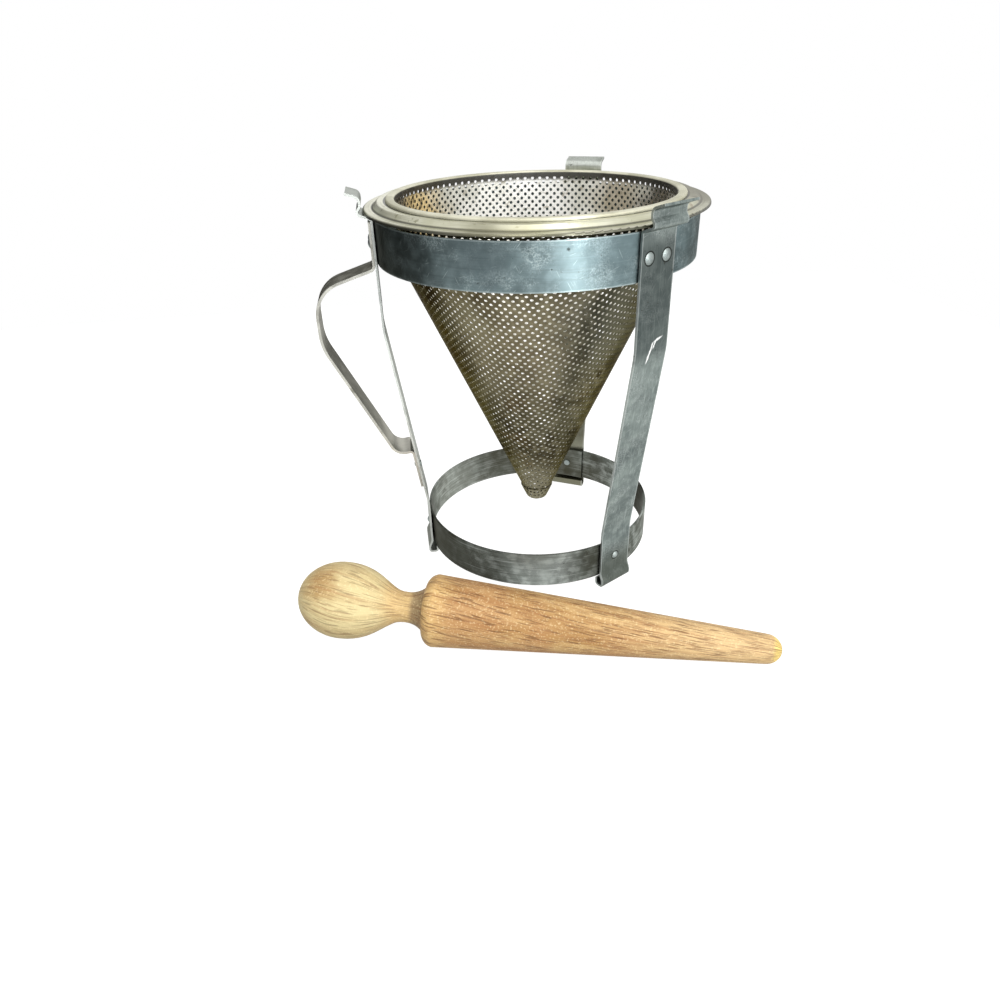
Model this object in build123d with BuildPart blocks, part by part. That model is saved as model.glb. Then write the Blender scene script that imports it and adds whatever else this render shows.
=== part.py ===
# A conical perforated strainer in its three-legged strap stand, with its wooden pestle.
#
# Millimetres, +Z up. The origin is on the table, on the stand's axis.
# The handle points along -X. The three legs are a third of a turn apart.
import os
from math import atan2, cos, degrees, hypot, pi, radians, sin, sqrt, tan

from build123d import *

os.makedirs("parts", exist_ok=True)

# Strap iron that the stand is made of
strap_width = 24.0
strap_thickness = 1.2
handle_strap_width = 21.0
handle_strap_thickness = 1.5
lap_clearance = 0.1

# Stand heights, from the table up
foot_height = 8.0
ring_height = 22.3
band_height = 24.0
stand_height = 216.2

# Rim of the strainer, from the mouth outwards
mouth_radius = 77.25
bead_width = 5.1
rim_flat_width = 4.65
rim_slope_width = 2.7
rim_edge_width = 5.3
flange_radius = mouth_radius + bead_width + rim_flat_width + rim_slope_width + rim_edge_width

# Rim sheet and its levels
rim_thickness = 0.8
rim_edge_depth = 1.6
rim_slope_rise = 2.7
rim_corner_radius = 0.9

# Perforated collar and cone
cone_thickness = 0.7
bead_height = 1.6
bead_outer_bend = 0.9
bead_inner_bend = 1.3
rim_hole_clearance = 0.1
bead_rest_clearance = 0.05
collar_height = 34.5
collar_lap = 5.0
collar_lap_clearance = 0.05
shoulder_bend_radius = 8.0
cone_depth = 195.0
tip_radius = 5.1

# Punched holes, on the real sheet's square lattice but this many times coarser
hole_pitch = 3.35
hole_radius = 0.84
hole_coarseness = 5
hole_sides = 6
hole_border = 2.0
cone_lattice_turn = 52.3
cone_front_angle = -100.7

# Cap on the cone's tip
cap_thickness = 0.8
cap_height = 9.5
cap_lap = 4.5
cap_clearance = 0.05
cap_bend_radius = 2.2

# Stand radii that follow the rim and the cone
band_setback = 5.0
band_outer_radius = flange_radius - band_setback
ring_setback = 16.8
ring_outer_radius = band_outer_radius - ring_setback

# Legs
front_leg_angle = -60.0
rear_leg_angle = 60.0
handle_leg_angle = 180.0
leg_angles = {
    "front_leg": front_leg_angle,
    "rear_leg": rear_leg_angle,
    "handle_leg": handle_leg_angle,
}
leg_lower_bend_rise = 7.7
leg_upper_bend_drop = 37.2
leg_bend_radius = 50.0

# Spring clip at the top of each leg
clip_clearance = 0.3
clip_pocket_depth = 3.5
clip_shelf_rise = 2.9
clip_neck_rise = 3.9
clip_throat_height = 4.2
clip_tip_reach = 7.1
clip_tip_rise = 2.3
clip_bend_radius = 1.7
clip_curl_radius = 3.0

# Rolled foot at the bottom of each leg
foot_flare = 2.0
foot_flare_rise = 4.4
foot_knuckle_height = 4.6
foot_roll_width = 5.2
foot_upstand_height = 5.2
foot_bend_radius = 1.6
foot_flare_bend_radius = 4.0

# Laps where the ends of the band and the ring meet, at the rear leg
lap_inner_end_angle = -9.5
lap_outer_end_angle = 8.0
lap_joggle_angle = 4.5
lap_joggle_gap_angle = 1.5

# Rivets
rivet_head_radius = 2.3
rivet_head_height = 1.2
rivet_shank_radius = 1.3
rivet_tail_radius = 2.1
rivet_tail_height = 0.7
rivet_hole_clearance = 0.05
rivet_seat_clearance = 0.02
band_rivet_head_radius = 3.0
band_rivet_spacing = 12.3
band_rivet_drop = 13.0

# Handle
handle_tab_top_drop = 1.6
handle_root_drop = 2.5
handle_reach = 34.6
handle_shoulder_drop = 10.7
handle_run_top_drop = 44.2
handle_heel_reach = 11.4
handle_heel_drop = 2.3
handle_tab_height = 76.8
handle_tab_length = 26.0
handle_root_bend = 3.0
handle_shoulder_bend = 20.0
handle_elbow_bend = 31.5
handle_heel_bend = 9.0
handle_tab_bend = 2.2
handle_heel_run_share = 0.97
handle_rivet_share = 0.55

# Pestle
pestle_length = 270.0
pestle_start = (-153.4, -78.3)
pestle_heading = -16.1
knob_radius = 21.8
knob_length = 26.0
knob_waist_position = 44.5
knob_waist_radius = 17.2
knob_taper_position = 56.0
knob_taper_radius = 10.0
neck_position = 63.0
neck_radius = 8.6
cove_end_position = 73.0
cove_end_radius = 12.6
shoulder_inner_position = 73.6
shoulder_inner_radius = 14.3
shoulder_crown_position = 75.4
shoulder_crown_radius = 18.4
body_start = 79.5
body_start_radius = 20.5
body_end_radius = 8.2
pestle_tip_length = 8.5
pestle_tip_shares = (0.74, 0.66)

cut_overrun = 5.0


def outward(angle):
    """The horizontal direction from the stand's axis towards a leg."""
    return Vector(cos(radians(angle)), sin(radians(angle)), 0)


def upright_plane(angle):
    """The vertical plane through the stand's axis and a leg: x is the radius, y the height."""
    return Plane(origin=(0, 0, 0), x_dir=outward(angle), z_dir=outward(angle - 90))


def facing_plane(angle, radius, height, lean=0.0):
    """The plane that faces outwards at a leg, leaning back with it: x is along the strap's width."""
    direction = outward(angle) * cos(radians(lean)) - Vector(0, 0, sin(radians(lean)))
    origin = outward(angle) * radius + Vector(0, 0, height)
    return Plane(origin=origin, x_dir=outward(angle + 90), z_dir=direction)


# Heights and radii that follow from the sizes above
band_bottom = stand_height - band_height
ring_bottom = foot_height
ring_top = ring_bottom + ring_height
leg_band_radius = band_outer_radius + strap_thickness / 2
leg_ring_radius = ring_outer_radius + strap_thickness / 2
leg_lower_bend = ring_top + leg_lower_bend_rise
leg_upper_bend = band_bottom - leg_upper_bend_drop
leg_lean = degrees(atan2(leg_band_radius - leg_ring_radius, leg_upper_bend - leg_lower_bend))

clip_bulge_radius = flange_radius + clip_pocket_depth
clip_neck_radius = flange_radius + clip_clearance + strap_thickness / 2
shelf_slope = clip_shelf_rise / (clip_bulge_radius - leg_band_radius)
shelf_stretch = hypot(1, shelf_slope)
shelf_top_at_flange = (
    stand_height + (flange_radius - leg_band_radius) * shelf_slope + strap_thickness / 2 * shelf_stretch
)

rim_edge_bottom = shelf_top_at_flange + clip_clearance * shelf_stretch
rim_outer_level = rim_edge_bottom + rim_edge_depth - rim_thickness / 2
rim_inner_level = rim_outer_level + rim_slope_rise
rim_flat_top = rim_inner_level + rim_thickness / 2
rim_top = rim_flat_top + bead_height
cone_tip = rim_top - cone_depth
collar_radius = mouth_radius + cone_thickness / 2
cone_lip_radius = collar_radius - cone_thickness - collar_lap_clearance
cone_knee = rim_top - collar_height


def leg_radius_at(height):
    """The radius of the middle of a leg's strap, on its leaning stretch."""
    return leg_ring_radius + (height - leg_lower_bend) * tan(radians(leg_lean))


def half_turn(before, corner, after):
    """The tangent of half the angle by which a path turns at a corner."""
    turn = (Vector(*corner) - Vector(*before)).get_angle(Vector(*after) - Vector(*corner))
    return tan(radians(turn) / 2)


def rivet_holes(angle, radius, height, offsets, lean=0.0):
    """Cuts one row of rivet holes through what lies at this place."""
    with BuildSketch(facing_plane(angle, radius, height, lean)) as holes:
        for offset in offsets:
            with Locations((offset, 0)):
                Circle(rivet_shank_radius + rivet_hole_clearance)
    extrude(holes.sketch, amount=cut_overrun, both=True, mode=Mode.SUBTRACT)


def rivet(angle, face_radius, height, offset, grip, head_radius, lean=0.0):
    """Adds one rivet: a domed head on the outer face, a shank as long as its grip, and a flat tail."""
    face = facing_plane(angle, face_radius, height, lean)
    centre = face.from_local_coords((offset, 0, 0))
    side = Plane(origin=centre, x_dir=face.x_dir, z_dir=face.x_dir.cross(face.z_dir))
    with BuildSketch(side) as profile:
        with BuildLine():
            Line((0, rivet_head_height), (0, -grip - rivet_tail_height))
            Line((0, -grip - rivet_tail_height), (rivet_tail_radius, -grip - rivet_tail_height))
            Line((rivet_tail_radius, -grip - rivet_tail_height), (rivet_tail_radius, -grip))
            Line((rivet_tail_radius, -grip), (rivet_shank_radius, -grip))
            Line((rivet_shank_radius, -grip), (rivet_shank_radius, 0))
            Line((rivet_shank_radius, 0), (head_radius, 0))
            dome_radius = (head_radius**2 + rivet_head_height**2) / (2 * rivet_head_height)
            dome_angle = atan2(head_radius, dome_radius - rivet_head_height) / 2
            dome_drop = dome_radius - rivet_head_height
            middle = (dome_radius * sin(dome_angle), dome_radius * cos(dome_angle) - dome_drop)
            ThreePointArc((head_radius, 0), middle, (0, rivet_head_height))
        make_face()
    revolve(profile.sketch, axis=Axis(centre, face.z_dir))


def seat_behind(inner_radius, offset):
    """How far out a flat tail can sit inside a curved strap before it meets the strap."""
    reach = abs(offset) + rivet_tail_radius
    return sqrt(inner_radius**2 - reach**2) - rivet_seat_clearance


def lapped_hoop(outer_radius, bottom, height):
    """Adds a hoop of strap whose inner end laps behind its outer end at the rear leg."""
    middle = outer_radius - strap_thickness / 2
    inner = middle - strap_thickness - lap_clearance
    outer_end = rear_leg_angle + lap_outer_end_angle
    inner_start = outer_end + lap_joggle_gap_angle
    joggle_end = inner_start + lap_joggle_angle
    inner_end = rear_leg_angle + lap_inner_end_angle
    with BuildSketch(Plane.XY.offset(bottom)) as profile:
        with BuildLine():
            hoop = CenterArc((0, 0), middle, joggle_end, 360 - joggle_end + outer_end)
            lap = CenterArc((0, 0), inner, inner_end, inner_start - inner_end)
            Spline(lap @ 1, hoop @ 0, tangents=(lap % 1, hoop % 0))
        trace(line_width=strap_thickness)
    extrude(profile.sketch, amount=height)


band_rivet_offsets = (-band_rivet_spacing / 2, band_rivet_spacing / 2)
band_rivet_height = stand_height - band_rivet_drop
ring_rivet_height = ring_bottom + ring_height / 2
handle_tab_middle = handle_tab_height - handle_tab_length * handle_rivet_share

# Upper band, which holds the heads of the three legs
with BuildPart() as upper_band:
    lapped_hoop(band_outer_radius, band_bottom, band_height)
    for angle in leg_angles.values():
        rivet_holes(angle, band_outer_radius, band_rivet_height, band_rivet_offsets)

# Lower ring, which ties the three feet
with BuildPart() as lower_ring:
    lapped_hoop(ring_outer_radius, ring_bottom, ring_height)
    for angle in leg_angles.values():
        rivet_holes(angle, ring_outer_radius, ring_rivet_height, (0,))


def leg(angle):
    """Adds one leg: a strap with a spring clip at its head and a rolled foot."""
    foot_radius = leg_ring_radius + foot_flare
    path = [
        (clip_neck_radius + clip_tip_reach,
         stand_height + clip_shelf_rise + clip_neck_rise + clip_throat_height + clip_tip_rise),
        (clip_neck_radius, stand_height + clip_shelf_rise + clip_neck_rise + clip_throat_height),
        (clip_neck_radius, stand_height + clip_shelf_rise + clip_neck_rise),
        (clip_bulge_radius, stand_height + clip_shelf_rise),
        (leg_band_radius, stand_height),
        (leg_band_radius, leg_upper_bend),
        (leg_ring_radius, leg_lower_bend),
        (leg_ring_radius, foot_knuckle_height + foot_flare_rise),
        (foot_radius, foot_knuckle_height),
        (foot_radius, strap_thickness / 2),
        (foot_radius - foot_roll_width, strap_thickness / 2),
        (foot_radius - foot_roll_width, foot_upstand_height),
    ]
    bends = [
        clip_curl_radius,
        clip_bend_radius,
        clip_bend_radius,
        clip_bend_radius,
        leg_bend_radius,
        leg_bend_radius,
        foot_flare_bend_radius,
        foot_flare_bend_radius,
        foot_bend_radius,
        foot_bend_radius,
    ]
    with BuildSketch(upright_plane(angle)) as profile:
        with BuildLine():
            FilletPolyline(*path, radius=bends)
        trace(line_width=strap_thickness)
    extrude(profile.sketch, amount=strap_width / 2, both=True)
    rivet_holes(angle, leg_band_radius, band_rivet_height, band_rivet_offsets)
    rivet_holes(angle, leg_ring_radius, ring_rivet_height, (0,))


with BuildPart() as front_leg:
    leg(front_leg_angle)

with BuildPart() as rear_leg:
    leg(rear_leg_angle)

with BuildPart() as handle_leg:
    leg(handle_leg_angle)
    rivet_holes(handle_leg_angle, leg_radius_at(handle_tab_middle), handle_tab_middle, (0,), leg_lean)

# Handle, a strap whose upper end lies over the leg beside the band
handle_top_radius = leg_band_radius + (strap_thickness + handle_strap_thickness) / 2
handle_outer_radius = handle_top_radius + handle_reach
handle_root = band_bottom - handle_root_drop
tab_gap = (strap_thickness + handle_strap_thickness) / 2 / cos(radians(leg_lean))
handle_tab_bottom = handle_tab_height - handle_tab_length
handle_heel_height = handle_tab_height - handle_heel_drop

with BuildPart() as handle:
    handle_path = [
        (handle_top_radius, stand_height - handle_tab_top_drop),
        (handle_top_radius, handle_root),
        (handle_outer_radius, handle_root - handle_shoulder_drop),
        (handle_outer_radius, band_bottom - handle_run_top_drop),
        (leg_radius_at(handle_heel_height) + handle_heel_reach, handle_heel_height),
        (leg_radius_at(handle_tab_height) + tab_gap, handle_tab_height),
        (leg_radius_at(handle_tab_bottom) + tab_gap, handle_tab_bottom),
    ]
    run_end, heel, tab_top, tab_end = handle_path[-4:]
    heel_run = (Vector(*tab_top) - Vector(*heel)).length * handle_heel_run_share
    heel_room = heel_run - handle_tab_bend * half_turn(heel, tab_top, tab_end)
    handle_bends = [
        handle_root_bend,
        handle_shoulder_bend,
        handle_elbow_bend,
        min(handle_heel_bend, heel_room / half_turn(run_end, heel, tab_top)),
        handle_tab_bend,
    ]
    with BuildSketch(upright_plane(handle_leg_angle)):
        with BuildLine():
            FilletPolyline(*handle_path, radius=handle_bends)
        trace(line_width=handle_strap_thickness)
    extrude(amount=handle_strap_width / 2, both=True)
    rivet_holes(handle_leg_angle, handle_top_radius, band_rivet_height, band_rivet_offsets)
    rivet_holes(handle_leg_angle, leg_radius_at(handle_tab_middle), handle_tab_middle, (0,), leg_lean)

# Rivets, two through each leg and the band
with BuildPart() as band_rivets:
    for name, angle in leg_angles.items():
        face = leg_band_radius + strap_thickness / 2
        if name == "handle_leg":
            face += handle_strap_thickness
        laps = strap_thickness + lap_clearance if name == "rear_leg" else 0
        inner = band_outer_radius - strap_thickness - laps
        for offset in band_rivet_offsets:
            grip = face - seat_behind(inner, offset)
            rivet(angle, face, band_rivet_height, offset, grip, band_rivet_head_radius)

# Rivets, one through each leg and the ring
with BuildPart() as ring_rivets:
    for name, angle in leg_angles.items():
        face = leg_ring_radius + strap_thickness / 2
        laps = strap_thickness + lap_clearance if name == "rear_leg" else 0
        inner = ring_outer_radius - strap_thickness - laps
        grip = face - seat_behind(inner, 0)
        rivet(angle, face, ring_rivet_height, 0, grip, rivet_head_radius)

# Rivet through the handle's lower end and its leg
with BuildPart() as handle_rivet:
    plane = facing_plane(handle_leg_angle, leg_radius_at(handle_tab_middle), handle_tab_middle, leg_lean)
    head = plane.origin + plane.z_dir * (strap_thickness / 2 + handle_strap_thickness)
    rivet(
        handle_leg_angle,
        hypot(head.X, head.Y),
        head.Z,
        0,
        strap_thickness + handle_strap_thickness,
        rivet_head_radius,
        leg_lean,
    )

# Rim of the strainer, a stamped ring that hangs in the clips by its turned-down edge
with BuildPart() as strainer_rim:
    edge = flange_radius - rim_thickness / 2
    hole = mouth_radius + cone_thickness + rim_hole_clearance
    slope_foot = flange_radius - rim_edge_width
    with BuildSketch(Plane.XZ):
        with BuildLine():
            FilletPolyline(
                (edge, rim_edge_bottom),
                (edge, rim_outer_level),
                (slope_foot, rim_outer_level),
                (slope_foot - rim_slope_width, rim_inner_level),
                (hole, rim_inner_level),
                radius=rim_corner_radius,
            )
        trace(line_width=rim_thickness)
    revolve(axis=Axis.Z)


def punch(planes):
    """Punches one hole through the part in hand at each plane."""
    with BuildSketch(*planes) as holes:
        RegularPolygon(hole_radius * hole_coarseness, hole_sides)
    extrude(holes.sketch, amount=cut_overrun, both=True, mode=Mode.SUBTRACT)


# What the holes leave plain along an edge, from their centres
coarse_pitch = hole_pitch * hole_coarseness
plain_edge = hole_radius * hole_coarseness + hole_border


def collar_punches():
    """The planes of the collar's holes, in rows that close round it and are staggered by half a step."""
    columns = round(2 * pi * collar_radius / (coarse_pitch * sqrt(2)))
    row_step = coarse_pitch / sqrt(2)
    lowest = cone_knee + collar_lap + plain_edge
    rows = int((rim_flat_top - plain_edge - lowest) / row_step) + 1
    return [
        facing_plane((column + row / 2) * 360 / columns, collar_radius, lowest + row * row_step)
        for row in range(rows)
        for column in range(columns)
    ]


# Perforated collar, a rolled strip whose plain top border is turned out over the rim into a bead
with BuildPart() as strainer_collar:
    bead_top = rim_top - cone_thickness / 2
    bead_outer = mouth_radius + bead_width - cone_thickness / 2
    with BuildSketch(Plane.XZ):
        with BuildLine():
            FilletPolyline(
                (bead_outer, rim_flat_top + bead_rest_clearance),
                (bead_outer, bead_top),
                (collar_radius, bead_top),
                (collar_radius, cone_knee),
                radius=[bead_outer_bend, bead_inner_bend],
            )
        trace(line_width=cone_thickness)
    revolve(axis=Axis.Z)
    punch(collar_punches())

# Perforated cone, rolled from flat sheet, whose upright lip is lapped inside the collar
cone_run = cone_knee - cone_tip
cone_half_angle = degrees(atan2(cone_lip_radius - tip_radius, cone_run))
cap_wall = (cone_thickness + cap_thickness) / 2 + cap_clearance


def cone_radius_at(height):
    """The radius of the middle of the cone's sheet, on its straight slope."""
    return cone_lip_radius - (cone_knee - height) * tan(radians(cone_half_angle))


def cone_punches():
    """The planes of the cone's holes: a lattice over the flat sheet, rolled up with its seam at the back."""
    slant = cos(radians(cone_half_angle))
    spread = 1 / sin(radians(cone_half_angle))
    apex = cone_knee - cone_lip_radius / tan(radians(cone_half_angle))
    nearest = (cap_top - apex) / slant + plain_edge
    farthest = (cone_knee - apex) / slant - plain_edge - shoulder_bend_radius / spread
    turn = radians(cone_lattice_turn)
    reach = int(farthest / coarse_pitch) + 1
    planes = []
    for i in range(-reach, reach + 1):
        for j in range(-reach, reach + 1):
            across = coarse_pitch * (i * cos(turn) - j * sin(turn))
            upward = coarse_pitch * (i * sin(turn) + j * cos(turn))
            distance = hypot(across, upward)
            if nearest < distance < farthest:
                rolled = degrees(atan2(across, upward)) * spread
                if abs(rolled) < 180 - degrees(plain_edge / distance) * spread:
                    height = apex + distance * slant
                    planes.append(
                        facing_plane(
                            cone_front_angle + rolled, cone_radius_at(height), height, cone_half_angle
                        )
                    )
    return planes


cone_end = cone_tip + cap_height - cap_lap
cap_top = cone_tip + cap_height
with BuildPart() as strainer_cone:
    with BuildSketch(Plane.XZ):
        with BuildLine():
            FilletPolyline(
                (cone_lip_radius, cone_knee + collar_lap),
                (cone_lip_radius, cone_knee),
                (cone_radius_at(cone_end), cone_end),
                radius=shoulder_bend_radius,
            )
        trace(line_width=cone_thickness)
    revolve(axis=Axis.Z)
    punch(cone_punches())

# Cap on the tip, lapped over the cone's open end
cap_shift = cap_wall / cos(radians(cone_half_angle))
cap_floor = cone_tip + cap_thickness / 2
with BuildPart() as tip_cap:
    with BuildSketch(Plane.XZ):
        with BuildLine():
            FilletPolyline(
                (cone_radius_at(cap_top) + cap_shift, cap_top),
                (cone_radius_at(cap_floor) + cap_shift, cap_floor),
                (0, cap_floor),
                radius=cap_bend_radius,
            )
        trace(line_width=cap_thickness)
    revolve(axis=Axis.Z)

# Pestle, turned in one piece, lying on its tapered side on the table
body_end = pestle_length - pestle_tip_length
taper = degrees(atan2(body_start_radius - body_end_radius, body_end - body_start))
axis_height = body_start_radius * cos(radians(taper)) + body_start * sin(radians(taper))
axis_direction = outward(pestle_heading) * cos(radians(taper)) - Vector(0, 0, sin(radians(taper)))
axis_start = Vector(pestle_start[0], pestle_start[1], axis_height)
pestle_plane = Plane(origin=axis_start, x_dir=axis_direction, z_dir=outward(pestle_heading - 90))

with BuildPart() as pestle:
    with BuildSketch(pestle_plane):
        with BuildLine():
            EllipticalCenterArc((knob_length, 0), knob_length, knob_radius, 90, arc_size=90)
            Spline(
                (knob_length, knob_radius),
                (knob_waist_position, knob_waist_radius),
                (knob_taper_position, knob_taper_radius),
                (neck_position, neck_radius),
                tangents=((1, 0), (1, 0)),
            )
            TangentArc(
                (neck_position, neck_radius), (cove_end_position, cove_end_radius), tangent=(1, 0)
            )
            Line(
                (cove_end_position, cove_end_radius), (shoulder_inner_position, shoulder_inner_radius)
            )
            ThreePointArc(
                (shoulder_inner_position, shoulder_inner_radius),
                (shoulder_crown_position, shoulder_crown_radius),
                (body_start, body_start_radius),
            )
            Line((body_start, body_start_radius), (body_end, body_end_radius))
            Spline(
                (body_end, body_end_radius),
                (
                    body_end + pestle_tip_length * pestle_tip_shares[0],
                    body_end_radius * pestle_tip_shares[1],
                ),
                (pestle_length, 0),
                tangents=((body_end - body_start, body_end_radius - body_start_radius), (0, -1)),
            )
            Line((pestle_length, 0), (0, 0))
        make_face()
    revolve(axis=Axis(axis_start, axis_direction))

pieces = {
    "upper_band": upper_band,
    "lower_ring": lower_ring,
    "front_leg": front_leg,
    "rear_leg": rear_leg,
    "handle_leg": handle_leg,
    "handle": handle,
    "band_rivets": band_rivets,
    "ring_rivets": ring_rivets,
    "handle_rivet": handle_rivet,
    "strainer_rim": strainer_rim,
    "strainer_collar": strainer_collar,
    "strainer_cone": strainer_cone,
    "tip_cap": tip_cap,
    "pestle": pestle,
}

for name, piece in pieces.items():
    piece.part.label = name
    export_step(piece.part, f"parts/{name}.step")
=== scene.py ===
from math import atan2, ceil, cos, hypot, pi, radians, sin, sqrt, tan

import bmesh
import bpy
from mathutils import Matrix, Vector


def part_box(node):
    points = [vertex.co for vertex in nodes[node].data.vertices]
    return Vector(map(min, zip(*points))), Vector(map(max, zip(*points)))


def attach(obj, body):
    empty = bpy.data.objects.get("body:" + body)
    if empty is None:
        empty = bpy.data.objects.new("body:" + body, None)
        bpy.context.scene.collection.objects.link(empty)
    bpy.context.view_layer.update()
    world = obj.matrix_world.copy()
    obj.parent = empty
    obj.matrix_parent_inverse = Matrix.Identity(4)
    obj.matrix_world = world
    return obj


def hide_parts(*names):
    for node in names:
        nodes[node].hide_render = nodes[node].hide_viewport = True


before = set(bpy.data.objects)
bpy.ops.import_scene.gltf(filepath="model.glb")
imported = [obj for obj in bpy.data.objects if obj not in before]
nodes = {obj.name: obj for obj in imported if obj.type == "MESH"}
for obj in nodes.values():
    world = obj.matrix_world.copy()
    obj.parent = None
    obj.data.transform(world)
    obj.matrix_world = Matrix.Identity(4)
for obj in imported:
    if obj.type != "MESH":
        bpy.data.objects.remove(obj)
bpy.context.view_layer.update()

MM = 0.001

# Perforated sheet
hole_pitch = 3.35 * MM
hole_radius = 0.97 * MM
sheet_thickness = 0.5 * MM
cap_sheet_thickness = 0.6 * MM
cone_lattice_turn = radians(52.3)
cone_front_angle = radians(-100.7)
cone_seam_lap = radians(3.0)
cone_seam_step = radians(3.0)
cone_sheet_half_width = 190 * MM
cone_sheet_centre = 75 * MM
cone_bend_radius = 8 * MM
cap_lattice_turn = radians(20)
cap_bend_radius = 2.2 * MM
cap_sheet_half_width = 22 * MM
cap_wall_slope = 0.447
cone_tip_radius = 5.1 * MM
smooth_angle = radians(40)

# Rolled collar and its bead
collar_columns = 103
collar_rows = 13
bead_width = 5.1 * MM
bead_height = 1.6 * MM
bead_inner_bend = 1.3 * MM
bead_outer_bend = 0.9 * MM
bead_rest = 0.05 * MM
collar_plain_border = 1.5 * MM
collar_sheet_share = 0.37
weld_gap = 0.02 * MM
edge_gap = 0.01 * MM

# Angles of the legs about the stand's axis
leg_turns = {"front_leg": radians(-60), "rear_leg": radians(60), "handle_leg": radians(180)}

# Camera, as the photograph was taken
camera_place = (-0.08218, -0.43576, 0.28990)
camera_right = (0.988675, -0.146968, -0.030371)
camera_up = (0.101034, 0.502188, 0.858836)
camera_focal_share = 0.750228
sensor_width = 36.0
camera_clip_start = 0.01

# Rivets, straps and round walls, in millimetres
band_rivet_across = 6.15
band_rivet_radius = 3.0
ring_rivet_radius = 2.3
strap_half_width = 12.0
handle_half_width = 10.5
no_worn_edge = (0, 0, 1000)
rivet_dirt_and_shade_gap = 0.4
band_wall_radius = 90
ring_wall_radius = 73
rim_wall_radius = 85
bead_start = (77.3, 77.6)
bead_shadow_drops = (5.5, 3.0)

# Heights in millimetres over which the painted shade on a leg's upper part fades in and out, and over which
# a leg darkens towards its foot
upper_leg_painted_shade_start = (145.0, 157.0)
upper_leg_painted_shade_end = (206.0, 217.0)
foot_shade_end = (12.0, 34.0)

# Shades of each strap: dark, middle, light and scuffed
band_shades = ("5f6d6f", "7a8c8f", "90a2a5", "dcebeb")
ring_shades = ("4c4f49", "7d847e", "c6cdc8", "e6ebe6")
handle_shades = ("76756b", "9d9c92", "bdbcb2", "ecece6")
rivet_shades = ("7c8584", "9aa3a1", "b3bbb8", "dfe4e1")
leg_shades = ("636c6b", "848e8b", "9fa9a5", "e1e7e5")
# A lighter copy of the leg shades for the rear and handle legs, as painted light
painted_lighter_leg_shades = ("a3a8a2", "c0c5c0", "d3d8d3", "f0f3f0")

# Patches of colour, some stains and some painted light or shade: place in metres, size in millimetres, tint
# and share
# Darker and browner towards the rear leg's foot
rear_leg_low_patch = [((0.0400, 0.0700, 0.0500), 210.0, "77755f", 0.80)]
# Painted light on the handle's heel, which faces up
handle_painted_light = [((-0.0850, 0.0000, 0.0770), 30.0, "f0eee4", 0.5)]
rim_patches = [
    ((0.0780, -0.0400, 0.2225), 5.0, "6b5a45", 0.6),
    ((0.0700, -0.0560, 0.2225), 3.0, "7a4a26", 0.6),
    # Darker at the right and at the front, here and on the next line
    ((0.0880, -0.0100, 0.2225), 44.0, "7b765c", 0.75),
    ((-0.0320, -0.0850, 0.2200), 38.0, "84816b", 0.65),
]
inner_stains_and_painted_light = [
    ((-0.0640, 0.0440, 0.2060), 36.0, "dcb963", 0.75),
    ((-0.0740, 0.0220, 0.2180), 20.0, "4a3d22", 0.85),
    # Painted highlight at the back
    ((0.0200, 0.0745, 0.2060), 36.0, "ffffff", 0.6),
    # Painted shade on the right-hand inner side, here and on the next line
    ((0.0619, 0.0462, 0.2080), 26.0, "8a7852", 0.6),
    ((0.0760, 0.0100, 0.2080), 36.0, "3f3524", 0.9),
]
ring_patches_and_painted_highlights = [
    ((-0.0663, -0.0309, 0.0190), 72.0, "29271f", 0.85),
    # Painted highlight on the front
    ((-0.0100, -0.0724, 0.0240), 36.0, "dbe4e0", 0.25),
    ((0.0290, -0.0672, 0.0190), 32.0, "3a3a31", 0.7),
    # Painted highlight inside at the left
    ((-0.0540, 0.0480, 0.0190), 44.0, "dcdfd4", 0.2),
    ((0.0160, 0.0702, 0.0190), 84.0, "3c392b", 0.75),
    ((0.0700, 0.0000, 0.0190), 36.0, "1d1c17", 0.85),
]
knob_stains = [((-0.1382, -0.0910, 0.0430), 16.0, "a37d49", 0.7)]
band_pit_and_painted_reflections = [
    ((-0.0014, -0.0900, 0.2118), 1.3, "23241f", 0.8),
    # Painted dark reflections over the band's left and either side of its highlight, here and on the next
    # two lines
    ((-0.0880, -0.0150, 0.2080), 80.0, "363832", 0.82),
    ((0.0230, -0.0870, 0.2080), 26.0, "64767a", 0.5),
    ((-0.0409, -0.0802, 0.2080), 24.0, "475054", 0.4),
]
cone_stains = [
    ((0.0000, 0.0000, 0.0300), 44.0, "a8a48e", 0.5),
    ((0.0480, -0.0500, 0.1650), 70.0, "6a6c64", 0.5),
    ((-0.0600, -0.0300, 0.1500), 80.0, "4a3e22", 0.4),
    ((-0.0250, -0.0550, 0.1450), 60.0, "a29c83", 0.35),
]
burnt_patch = ((-0.0640, 0.0400, 0.2080), 44)

# Dirt and painted shade in the rim's corners, in millimetres: radius, width and share
rim_corner_dirt_and_shade = [(82.9, 1.0, 0.95), (89.8, 0.8, 0.75), (95.0, 0.9, 0.8)]

# Strokes of the scratch: slope, the height it leans about, lowest, highest and width in millimetres
scratch_strokes = [
    (0.27, 159.7, 148.5, 160.5, 0.8),
    (0.60, 155.8, 156.0, 162.2, 0.8),
    (2.20, 159.3, 159.0, 162.5, 1.9),
]

# Pestle's axis: the end of its knob in metres, and how it lies
pestle_start = (-0.1534, -0.0783, 0.0262)
pestle_turn = radians(-16.1)
pestle_tilt = radians(3.87)
grain_lean = radians(6)
grain_radius = 14.0

# Where the pestle's shade changes, in millimetres from the end of its knob
pole_end = (1.5, 12.0)
knob_end = (52.0, 62.0)
pore_growth = (60.0, 84.0)
neck_shade_start = (64.5, 68.0)
neck_shade_end = (73.0, 74.2)
lip_start = (73.5, 76.0)
body_start = (74.0, 84.0)
lip_end = (84.0, 98.0)
pale_toe_start = (165.0, 250.0)
end_grain_start = (266.0, 269.0)

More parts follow.
